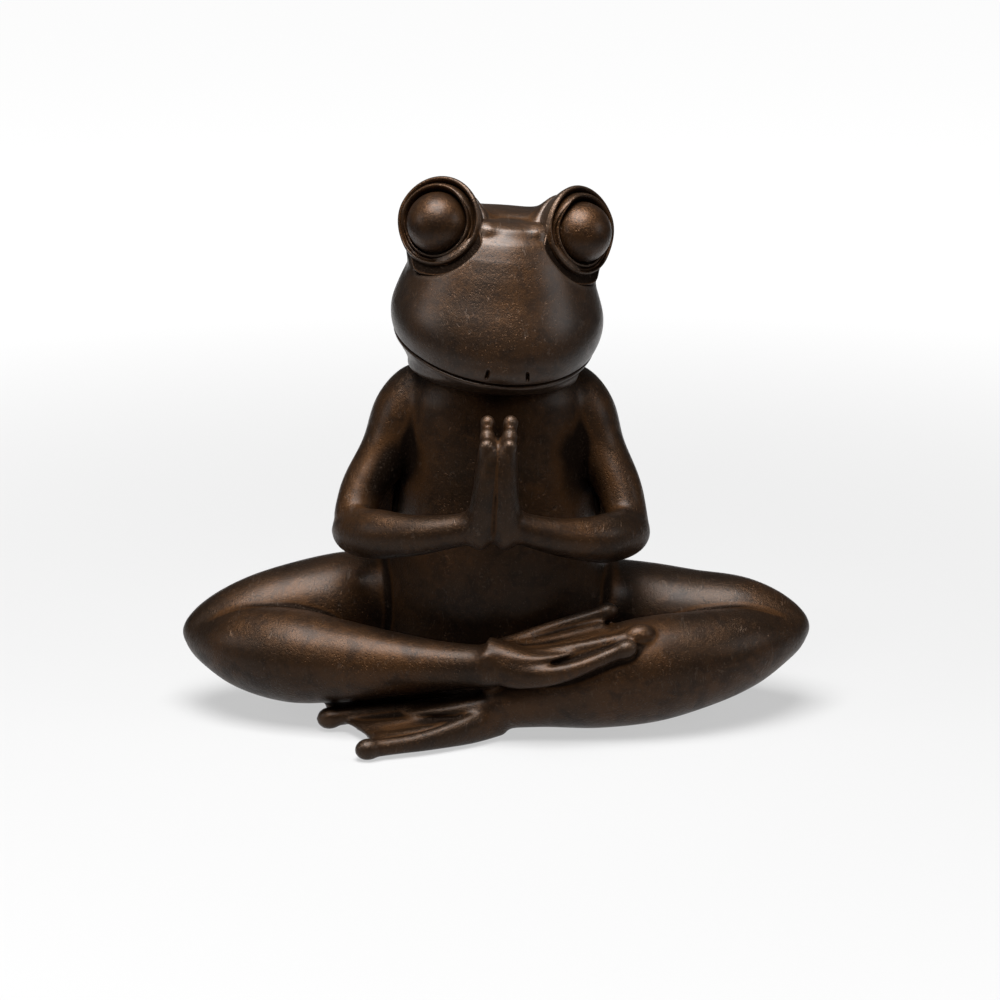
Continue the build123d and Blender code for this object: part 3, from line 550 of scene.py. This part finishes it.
def patina(name, ground, warm, worn, dark, roughness, pits, polish):
    """Dark bronze patina: brown with clouds of a warmer and a darker tone, warmer and matt in
    hollows and near black in the deepest, rubbed paler on ridges, with fine pits and short
    hair scratches. The hollow attribute also carries painted shade on some pieces, so the warm
    and near black tones there are partly painted shade. The polish is a thin clear wax over it."""
    board = Board(name)
    hollow = board.node("ShaderNodeAttribute", {"attribute_name": "hollow"}, {}, output=2)
    clouds = board.noise(24, 5, .6).ramp(.36, .64)
    blots = board.noise(95, 6, .65, distortion=.4).ramp(.44, .64)
    grain = board.noise(850, 5, .7)
    recess = (hollow + (grain - .5) * .12 + (blots - .5) * .08).ramp(.03, .36)
    # Near black where the hollow value is high: patina in the deepest hollows, and painted shade
    # where shade was added to that value.
    pocket_dark_and_shade = (hollow + (clouds - .5) * .2).ramp(.30, .95)
    ridge = (0 - hollow + (blots - .5) * .14 + (grain - .5) * .2).ramp(.22, 1.1)
    colour = board.mix(clouds * .75, ground, warm)
    colour = board.mix(blots * .55, colour, dark)
    colour = board.mix(recess * .65, colour, warm)
    colour = board.mix(pocket_dark_and_shade * .9, colour, dark)
    colour = board.mix(ridge * .32, colour, worn)
    hairs = 0
    for turn, offset in (((.3, .5, .9), 0.0), ((1.2, .2, 2.1), 3.0), ((2.2, 1.1, .4), 7.0)):
        where = board.node("ShaderNodeMapping", {}, {
            "Vector": board.place(), "Rotation": turn, "Location": (offset, offset, 0),
            "Scale": (1.0, .10, .5)})
        line = board.node("ShaderNodeTexNoise", {}, {
            "Vector": where, "Scale": 520.0, "Detail": 2.0, "Roughness": .5, "Distortion": .6})
        hairs = line.ramp(.64, .70) + hairs
    hairs = hairs * board.noise(60, 3, .6).ramp(.42, .66)
    speck = board.noise(1300, 2, .5).ramp(.60, .72)
    colour = board.mix(hairs * .22 + speck * .22, colour, worn)
    pit = board.node("ShaderNodeTexVoronoi", {"feature": "F1"}, {
        "Vector": board.place(), "Scale": 620.0, "Randomness": 1.0})
    pit_depth = pit.ramp(.05, .3, 1, 0) * board.noise(70, 3, .6).ramp(.44, .62)
    height = grain * .8 - pit_depth * 1.1 * pits - hairs * .5 + board.noise(240, 4, .6) * .8
    bump = board.node("ShaderNodeBump", {}, {"Strength": .50, "Distance": .0009, "Height": height})
    shine = (roughness + (clouds - .5) * .10 + blots * .08 + recess * .22 - ridge * .08
             + (grain - .5) * .3)
    board.fill(board.shader, {
        "Base Color": colour, "Roughness": shine, "Normal": bump, "Metallic": .72,
        "Specular IOR Level": .1, "Coat Weight": (1 - recess * .4 - pocket_dark_and_shade * .6) * polish,
        "Coat Roughness": .34})
    return board.material


bronze = patina("bronze_patina", (.022, .0115, .0056, 1), (.049, .0205, .0062, 1),
                (.105, .075, .056, 1), (.0036, .0021, .0013, 1), .37, 1, .18)
# The head's copy of the patina is lighter and glossier: painted light, so that the head reads
# brighter than the body and limbs.
head_lit_patina = patina("head_patina_painted_lighter", (.025, .0130, .0064, 1), (.053, .0225, .0068, 1),
                     (.120, .086, .065, 1), (.0042, .0025, .0017, 1), .41, 1.2, .48)
for number, casting in enumerate(castings):
    put_in_mesh(casting + "_casting", *divide(owner_of_face, number), bronze, "cast_resin",
                [casting])

# ---------------------------------------------------------------------------
# Head casting: hollow, wide and rounded, with two bosses for the eyes, a thin mouth line all
# round the snout and two short nostril slits. Height, half width, front and back, from its base.
head_rows = [
    (4.2, 22.3, -20.6, 22.4), (7.3, 31.9, -32.7, 29.9), (10.8, 38.2, -43.3, 36),
    (16.8, 40.6, -49.3, 38.5), (25, 45.8, -51, 40.5), (33, 49.1, -50.5, 42),
    (41, 49.8, -48.5, 42.5), (51, 47.1, -44.5, 42), (61, 42.5, -38.5, 40),
    (69.6, 37.5, -31, 36.5), (77.8, 30.2, -23.4, 31.5), (83, 21.9, -16.1, 25),
    (86.3, 11.9, -6.5, 14),
]
head_turn, head_lean = np.radians(8), np.radians(5.2)
neck_pin, neck_pin_depth = np.array([-2.1, 0, 165.06]), 14.03
mouth_tilt, mouth_height = np.radians(16.7), 29.5
eye_centres = np.array([(-32.5, -15.0, 81.8), (32.5, -15.0, 81.8)])
gaze_out, gaze_up = np.radians(36.5), np.radians(20)
eye_gaze = np.array([
    (side * np.sin(gaze_out) * np.cos(gaze_up), -np.cos(gaze_out) * np.cos(gaze_up),
     np.sin(gaze_up)) for side in (-1, 1)
])
brow_centre, brow_size = np.array([0, -12, 69]), np.array([22, 20, 12.5])
boss_radius, boss_front, boss_end = 19.6, 6, 34     # front and end: how far behind the eye
boss_taper, taper_from = .28, 8
trench_radius, trench_half_width, trench_front = 22.3, 2.2, 8.3


def on_neck(points):
    """From the head's own frame to the figure's: lean towards the left, turn, then lift."""
    lean = np.array([[np.cos(head_lean), 0, np.sin(head_lean)], [0, 1, 0],
                     [-np.sin(head_lean), 0, np.cos(head_lean)]])
    turn = np.array([[np.cos(head_turn), -np.sin(head_turn), 0],
                     [np.sin(head_turn), np.cos(head_turn), 0], [0, 0, 1]])
    both = lean @ turn
    return (points - neck_pin_depth * UP) @ both.T + neck_pin


def crowded(places, weights, spreads, count, low, high):
    """Numbers from low to high that stand closer together near the given places."""
    fine = np.linspace(low, high, 4000)
    crowd = 1 + sum(weight * np.exp(-((fine - place) / spread) ** 2)
                    for place, weight, spread in zip(places, weights, spreads))
    total = np.concatenate([[0], np.cumsum((crowd[1:] + crowd[:-1]) / 2)])
    return np.interp(np.linspace(0, total[-1], count), total, fine)


def soft_smaller(a, b, reach):
    """The smaller of two values, rounded off where they are within reach of each other."""
    close = np.clip(reach - np.abs(a - b), 0, None) / reach
    return np.minimum(a, b) - close ** 2 * reach / 4


def soft_larger(a, b, reach):
    """The larger of two values, rounded off in the same way."""
    return -soft_smaller(-a, -b, reach)


def smooth_step(values):
    """0 to 1 with level ends."""
    values = np.clip(values, 0, 1)
    return values * values * (3 - 2 * values)


def side_and_top(side, gaze):
    """The directions outward and upward in the plane that an eye's gaze is square to."""
    outward = side * np.cross(gaze, UP)
    outward /= np.linalg.norm(outward)
    return outward, side * np.cross(outward, gaze)


def head_gap(points):
    """How far outside the head a point is, about, in millimetres: outside the level ellipses,
    the full brow between the eyes and the bosses that carry them, run softly together. The
    trench under each eye counts as outside."""
    rows = np.array(head_rows, float)
    low, high = rows[0, 0], rows[-1, 0]
    up = np.clip(points[:, 2], low, high)
    half, front, back = through(rows[:, 0], rows[:, 1:], up).T
    slope = through(rows[:, 0], rows[:, 1], np.clip(up + .5, low, high)) - half
    deep = (back - front) / 2
    beyond = (np.abs(points[:, 2] - up) / 2.4) ** 2
    forward = (points[:, 1] - (front + back) / 2) / deep
    share = np.sqrt((points[:, 0] / half) ** 2 + forward ** 2 + beyond)
    gap = (share - 1) * np.minimum(half, deep) / np.sqrt(1 + 4 * slope ** 2)
    brow = np.sqrt((((points - brow_centre) / brow_size) ** 2).sum(1)) - 1
    gap = soft_smaller(gap, brow * brow_size[2], 20)
    for side, centre, gaze in zip((1, -1), eye_centres, eye_gaze):
        outward, above = side_and_top(side, gaze)
        away = points - centre
        behind = -away @ gaze
        radial = away + behind[:, None] * gaze
        radius = np.linalg.norm(radial, axis=1)
        below = outward * -.5 - above * .866
        under = smooth_step((radial @ below / np.maximum(radius, 1) - .45) / .3)
        wall = radius - boss_radius + boss_taper * np.maximum(behind - taper_from, 0)
        boss = soft_larger(.95 * wall, boss_front - behind, 3)
        boss = np.maximum(boss, behind - boss_end)
        gap = soft_smaller(gap, boss, 11 - 7 * under)
        trench = np.maximum(np.abs(radius - trench_radius) - trench_half_width,
                            behind - trench_front) + 6 * (1 - under)
        gap = soft_larger(gap, -trench, 1.2)
    return gap


def head_reach(directions):
    """How far the head reaches from a point on the mouth's plane in each direction: the last
    step inside it, then halved."""
    start = np.array([0, 0, mouth_height])
    near = np.full(len(directions), 15.0)
    for step in np.arange(16.0, 106.0):
        near = np.where(head_gap(start + directions * step) < 0, step, near)
    far = near + 1
    for _ in range(9):
        middle = (near + far) / 2
        outside = head_gap(start + directions * middle[:, None]) > 0
        far, near = np.where(outside, middle, far), np.where(outside, near, middle)
    return near


def ball_directions(down, around):
    """The direction for each pair of an angle down from the pole and an angle round it."""
    down, around = np.meshgrid(down, around, indexing="ij")
    return np.stack([np.sin(down) * np.cos(around), np.sin(down) * np.sin(around),
                     np.cos(down)], -1).reshape(-1, 3)


columns, rows_of_head = 430, 226
around = crowded([-np.pi / 2], [1.2], [.45], columns + 1, -np.pi * 1.5, np.pi / 2)[:-1]
down = crowded([np.pi / 2, np.pi / 2 - .12], [9, 1.0], [.022, .12], rows_of_head,
               .004, np.pi - .004)
tilt = np.array([[1, 0, 0], [0, np.cos(mouth_tilt), -np.sin(mouth_tilt)],
                 [0, np.sin(mouth_tilt), np.cos(mouth_tilt)]])
directions = ball_directions(down, around) @ tilt.T
reach = head_reach(directions)
mouth_depth, mouth_width = 1.6, .55
lip_height, lip_below, lip_width = .45, 1.9, 1.1
front_share = np.clip((.62 - directions[:, 1]) / .5, 0, 1)
off_plane = (np.repeat(down, columns) - np.pi / 2) * reach
reach -= mouth_depth * np.exp(-(off_plane / mouth_width) ** 2) * front_share
reach += lip_height * np.exp(-((off_plane - lip_below) / lip_width) ** 2) * front_share
head_points = directions * reach[:, None] + [0, 0, mouth_height]
nostril_side, nostril_height = 9.25, 20.1
slit_lean, slit_half_width, slit_half_height, slit_depth = .12, .62, 2.0, 2.4
for side in (-nostril_side, nostril_side):
    rise = head_points[:, 2] - nostril_height
    beside = head_points[:, 0] - side - rise * slit_lean * np.sign(-side)
    slit = np.exp(-(beside / slit_half_width) ** 4 - (rise / slit_half_height) ** 4)
    slit = slit * (head_points[:, 1] < 0)
    head_points += np.array([0, slit_depth, 0]) * slit[:, None]
head_points = on_neck(head_points)
head_quads = rings_to_quads(rows_of_head, columns)[:, ::-1]


def close_poles(points, quads, columns):
    """Adds a point at each end of a stack of rings and joins the end rings to it."""
    low, high = points[:columns].mean(0), points[-columns:].mean(0)
    ring = np.arange(columns)
    after = (ring + 1) % columns
    count = len(points)
    last = count - columns
    fans = np.vstack([np.stack([ring, after, np.full(columns, count)], 1),
                      np.stack([last + after, last + ring, np.full(columns, count + 1)], 1)])
    return np.vstack([points, low, high]), quads.tolist() + fans.tolist()


def ring_edges(quads):
    """The edges of a stack of rings, from the first two edges of each quad."""
    return np.vstack([quads[:, :2], quads[:, 1:3]])


def finish_rings(name, points, quads, columns, rounds, *rest):
    """Closes a stack of rings, works out its normals and hollows, and makes the piece."""
    normals = point_normals(points, quads)
    hollow = hollows(points, ring_edges(quads), normals, rounds)
    closed, faces = close_poles(points, quads, columns)
    poles = np.vstack([normals[:columns].mean(0), normals[-columns:].mean(0)])
    put_in_mesh(name, closed, faces, np.vstack([normals, poles]), np.append(hollow, [0, 0]),
                *rest)


finish_rings("head_casting", head_points, head_quads, columns, close_rounds, head_lit_patina,
             "cast_resin", ["head"])

# ---------------------------------------------------------------------------
# Eyelids: rings of folds pressed on each boss. A rolled lid hangs close over the ball, a ridge
# goes all the way round outside it, and below are thin folds, a deep groove and a last ridge.
lid_count, skirt_count, lid_around = 110, 16, 280
socket_radius, socket_edge = 13.2, 14.7
groove_wash_and_shade = 2     # how dark the groove below each eye is painted: the patina's dark wash and painted shade under the ring


def ridge_of(radius, crest, half_width):
    """A round ridge: the root of one less the squared share of its half width."""
    return np.sqrt(np.clip(1 - ((radius - crest) / half_width) ** 2, 0, 1))


for side, name, centre, gaze in zip((1, -1), ("right", "left"), eye_centres, eye_gaze):
    outward, above = side_and_top(side, gaze)
    turn = full_turn(lid_around)
    upper = smooth_step((np.cos(turn - np.radians(70)) + .35) / .95)
    under = smooth_step((np.cos(turn - np.radians(240)) - .45) / .3)
    crest = 19.6 + .8 * np.sin(turn) - .5 * np.cos(turn)
    edge = crest + 1.3 + 4.6 * under
    share = np.linspace(0, 1, lid_count)[:, None]
    radius = socket_radius + (edge - socket_radius) * share
    over_ball = np.maximum(1.5 + 5.6 * ridge_of(radius, 16.5, 1.8),
                           1.2 + 3.6 * ridge_of(radius, crest, 1.7))
    below_ball = np.maximum.reduce([
        .3 + 2.3 * ridge_of(radius, 15.5, .95), -.3 + 1.7 * ridge_of(radius, 17.3, .75),
        -.9 + 3.4 * ridge_of(radius, crest, 1.15), np.where(radius < crest, -.6, -7.5),
        -7.5 + 3.4 * ridge_of(radius, crest + 4.5, 1.5)])
    rise = upper * over_ball + (1 - upper) * below_ball
    rise = np.where(radius < socket_edge, -3.0, rise)
    rise -= 3 * np.clip((share - .95) / .05, 0, 1) ** 2 * under
    fall = np.linspace(0, 1, skirt_count + 1)[1:, None]
    skirt = edge - (7.6 * (1 - under) * fall ** 1.3 + 1.5 * under * fall)
    drop = rise[-1] - (20 * (1 - under) + 8 * under) * fall
    radius = np.vstack([radius[:1], radius, skirt])
    rise = np.vstack([rise[:1] - 3, rise, drop])
    radial = np.cos(turn)[:, None] * outward + np.sin(turn)[:, None] * above
    points = centre + radius[..., None] * radial + rise[..., None] * gaze
    points = on_neck(points.reshape(-1, 3))
    count = len(radius)
    ring = np.arange(lid_around)
    after = (ring + 1) % lid_around
    last = (count - 1) * lid_around
    quads = np.vstack([rings_to_quads(count, lid_around),
                       np.stack([last + ring, last + after, after, ring], 1)])[:, ::side]
    edges = ring_edges(quads)
    points = rub_down(points, edges, np.full(len(points), .5), 3)
    normals = point_normals(points, quads)
    hollow = hollows(points, edges, normals, 160)
    # Painted shade, with the patina's dark wash, on the outer wall below each eye.
    hollow += (groove_wash_and_shade * under * (radius > crest) * smooth_step((2.0 - rise) / 3)).ravel()
    put_in_mesh(name + "_eyelid_rings", points, quads.tolist(), normals, hollow, bronze,
                "cast_resin", [name + "_eyelid"])

# ---------------------------------------------------------------------------
# Eyeballs: plain balls, rubbed smoother than the rest, that sit in the sockets of the bosses.
ball_diameter, ball_rise, ball_rows, ball_around = 28.4, 1.5, 90, 120
eye_bronze = patina("eye_patina", (.024, .0125, .0064, 1), (.052, .0220, .0070, 1),
                    (.115, .082, .062, 1), (.0042, .0025, .0017, 1), .29, .5, .24)
for side, centre, gaze in zip(("right", "left"), eye_centres, eye_gaze):
    unit = ball_directions(np.linspace(.02, np.pi - .02, ball_rows), full_turn(ball_around))
    points = on_neck(centre + gaze * ball_rise + unit * ball_diameter / 2)
    quads = rings_to_quads(ball_rows, ball_around)[:, ::-1]
    finish_rings(side + "_eye_ball", points, quads, ball_around, 3, eye_bronze, "eyeball",
                 [side + "_eyeball"])

# ---------------------------------------------------------------------------
# Inside and underneath: beech dowels that pin the castings, a rubber plug in the filling hole
# and a black felt glued under the seat. These are the CAD solids themselves.
def dress(nodes, name, ground, second, scale, stretch, roughness, depth):
    """A plain stuff: two tones in streaks or flecks, with a fine bump."""
    board = Board(name)
    streaks = board.noise(scale, 5, .6, stretch=stretch)
    bump = board.node("ShaderNodeBump", {}, {"Strength": .4, "Distance": depth, "Height": streaks})
    board.fill(board.shader, {"Base Color": board.mix(streaks.ramp(.35, .65), ground, second),
                              "Roughness": roughness + (streaks - .5) * .2, "Normal": bump})
    for node in nodes:
        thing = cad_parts[node]
        thing.data.materials.clear()
        thing.data.materials.append(board.material)


dress([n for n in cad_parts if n.endswith("dowels") or n == "neck_dowel"], "beech",
      (.52, .33, .17, 1), (.38, .22, .10, 1), 260, (1, 1, .1), .6, .0002)
dress(["filling_plug"], "black_rubber",
      (.012, .012, .012, 1), (.025, .024, .023, 1), 500, None, .7, .0002)
dress(["base_felt"], "black_felt",
      (.010, .010, .011, 1), (.030, .029, .029, 1), 1600, None, .95, .0006)

# ---------------------------------------------------------------------------
# The place it stands in: a pale floor, soft studio lamps and a camera a little above, straight
# in front of the seat. The camera sees the floor's white everywhere. Reflections see it only on
# a sheet under and behind the object, and a darker floor beyond it.
floor_mesh = bpy.data.meshes.new("floor")
floor_mesh.from_pydata([(-4, -4, 0), (4, -4, 0), (4, 6, 0), (-4, 6, 0)], [], [(0, 1, 2, 3)])
floor = bpy.data.objects.new("floor", floor_mesh)
bpy.context.scene.collection.objects.link(floor)
board = Board("pale_floor")
path = board.tree.nodes.new("ShaderNodeLightPath")
mirrored_too = (Wire(board, path.outputs["Is Glossy Ray"])
                + Wire(board, path.outputs["Is Transmission Ray"]))
spot = board.node("ShaderNodeMapping", {}, {"Vector": board.place(), "Scale": (.5, .5, .5)})
near = board.node("ShaderNodeTexGradient", {"gradient_type": "SPHERICAL"}, {"Vector": spot})
away = near.ramp(.35, .9, 1, 0)
across, deep = (board.node("ShaderNodeSeparateXYZ", {}, {"Vector": board.place()}, i)
                for i in (0, 1))
sheet = deep.ramp(-.50, -.36) * (abs(across) - deep * .2).ramp(.36, .50, 1, 0)
seen = Wire(board, path.outputs["Is Camera Ray"]) + mirrored_too * sheet
white = board.mix(away, (.55, .55, .55, 1), (1, 1, 1, 1))
board.fill(board.shader, {
    "Base Color": board.mix(sheet, (.05, .05, .05, 1), (.16, .16, .16, 1)),
    "Roughness": .9, "Specular IOR Level": .1,
    "Emission Color": board.mix(seen, (0, 0, 0, 1), white), "Emission Strength": .95})
floor_mesh.materials.append(board.material)

world = bpy.data.worlds.new("studio")
bpy.context.scene.world = world
world.use_nodes = True
sky = world.node_tree.nodes["Background"]
sky.inputs["Color"].default_value = (1, 1, 1, 1)
sky.inputs["Strength"].default_value = .08


def lamp(name, place, target, size, power):
    """A square soft lamp that faces a point."""
    light = bpy.data.lights.new(name, "AREA")
    light.shape, light.size, light.energy = "SQUARE", size, power
    made = bpy.data.objects.new(name, light)
    bpy.context.scene.collection.objects.link(made)
    made.location = place
    aim = Vector(target) - Vector(place)
    made.rotation_mode = "QUATERNION"
    made.rotation_quaternion = aim.to_track_quat("-Z", "Y")


chest = (0, 0, .12)
lamp("lamp_over", (-.10, -.30, 1.2), chest, .8, 42)
lamp("lamp_left", (-1.1, -.35, .6), chest, .5, 3)
lamp("lamp_right", (1.1, -.35, .6), chest, .5, 3)

lens = bpy.data.cameras.new("camera")
lens.lens, lens.sensor_width = 105.84, 36
camera = bpy.data.objects.new("camera", lens)
bpy.context.scene.collection.objects.link(camera)
camera.location = (.0019, -1.3523, .4615)
camera.rotation_euler = (np.radians(75), 0, 0)
bpy.context.scene.camera = camera
bpy.context.scene.view_settings.view_transform = "Standard"
